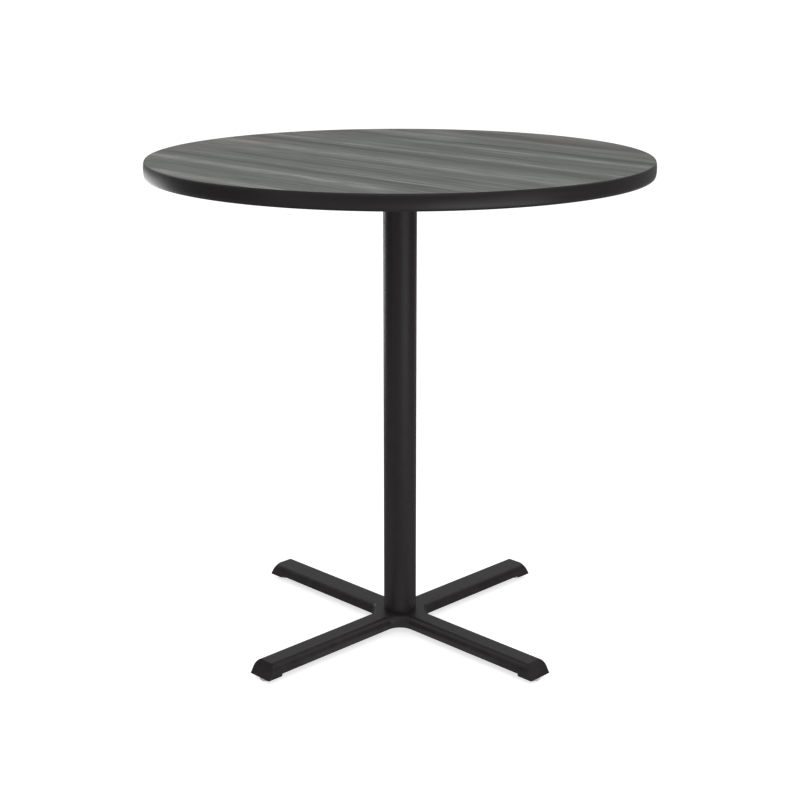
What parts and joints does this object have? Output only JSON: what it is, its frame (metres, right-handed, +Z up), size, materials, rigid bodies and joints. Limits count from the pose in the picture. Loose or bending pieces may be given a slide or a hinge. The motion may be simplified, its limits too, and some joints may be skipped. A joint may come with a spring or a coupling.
{
  "type": "bar-height cafe table",
  "caption": "Round bar-height pedestal table: wood-grain laminate top with a crowned edge moulding, steel column drawn tight by a tie rod, cast cross base on levelling glides.",
  "frame": {"origin": "on the floor under the middle of the column, with the glides fully screwed in", "axes": "+Z up along the column; -Y is the front that the picture shows; the legs lie on the diagonals between X and Y"},
  "size_m": [1.0738, 1.0738, 1.0702],
  "materials": {
    "laminate": "satin grey wood-grain high-pressure laminate",
    "particleboard": "raw particleboard",
    "backer": "matte brown backing sheet",
    "vinyl": "satin black vinyl",
    "coated_iron": "satin black powder coat over cast iron",
    "coated_steel": "satin black powder coat over steel tube",
    "plated_steel": "bright zinc plate",
    "nylon": "light grey moulded nylon"
  },
  "bodies": {
    "table": {"top_laminate": "laminate", "top_core": "particleboard", "top_backer": "backer", "edge_moulding": "vinyl", "spider": "coated_iron", "spider_screws": "plated_steel", "column_tube": "coated_steel", "tie_rod": "plated_steel", "tie_rod_upper_nut": "plated_steel", "tie_rod_lower_nut": "plated_steel", "tie_rod_washer": "plated_steel", "base_casting": "coated_iron"},
    "foot_rear_right": {"glide_foot_rear_right": "nylon"},
    "stem_rear_right": {"glide_stem_rear_right": "plated_steel"},
    "foot_rear_left": {"glide_foot_rear_left": "nylon"},
    "stem_rear_left": {"glide_stem_rear_left": "plated_steel"},
    "foot_front_left": {"glide_foot_front_left": "nylon"},
    "stem_front_left": {"glide_stem_front_left": "plated_steel"},
    "foot_front_right": {"glide_foot_front_right": "nylon"},
    "stem_front_right": {"glide_stem_front_right": "plated_steel"}
  },
  "joints": [
    {"name": "foot_lift_rear_right", "type": "slide", "parent": "table", "child": "foot_rear_right", "axis": [0, 0, -1], "range_m": [0, 0.00953]},
    {"name": "stem_turn_rear_right", "type": "hinge", "parent": "foot_rear_right", "child": "stem_rear_right", "pos_m": [0.2832, 0.2832, 0], "axis": [0, 0, -1], "range_deg": [0, 2160]},
    {"name": "foot_lift_rear_left", "type": "slide", "parent": "table", "child": "foot_rear_left", "axis": [0, 0, -1], "range_m": [0, 0.00953]},
    {"name": "stem_turn_rear_left", "type": "hinge", "parent": "foot_rear_left", "child": "stem_rear_left", "pos_m": [-0.2832, 0.2832, 0], "axis": [0, 0, -1], "range_deg": [0, 2160]},
    {"name": "foot_lift_front_left", "type": "slide", "parent": "table", "child": "foot_front_left", "axis": [0, 0, -1], "range_m": [0, 0.00953]},
    {"name": "stem_turn_front_left", "type": "hinge", "parent": "foot_front_left", "child": "stem_front_left", "pos_m": [-0.2832, -0.2832, 0], "axis": [0, 0, -1], "range_deg": [0, 2160]},
    {"name": "foot_lift_front_right", "type": "slide", "parent": "table", "child": "foot_front_right", "axis": [0, 0, -1], "range_m": [0, 0.00953]},
    {"name": "stem_turn_front_right", "type": "hinge", "parent": "foot_front_right", "child": "stem_front_right", "pos_m": [0.2832, -0.2832, 0], "axis": [0, 0, -1], "range_deg": [0, 2160]}
  ],
  "couplings": [
    {"joint": "stem_turn_rear_right", "follows": "foot_lift_rear_right", "rad_per_m": 3957.9},
    {"joint": "stem_turn_rear_left", "follows": "foot_lift_rear_left", "rad_per_m": 3957.9},
    {"joint": "stem_turn_front_left", "follows": "foot_lift_front_left", "rad_per_m": 3957.9},
    {"joint": "stem_turn_front_right", "follows": "foot_lift_front_right", "rad_per_m": 3957.9}
  ]
}
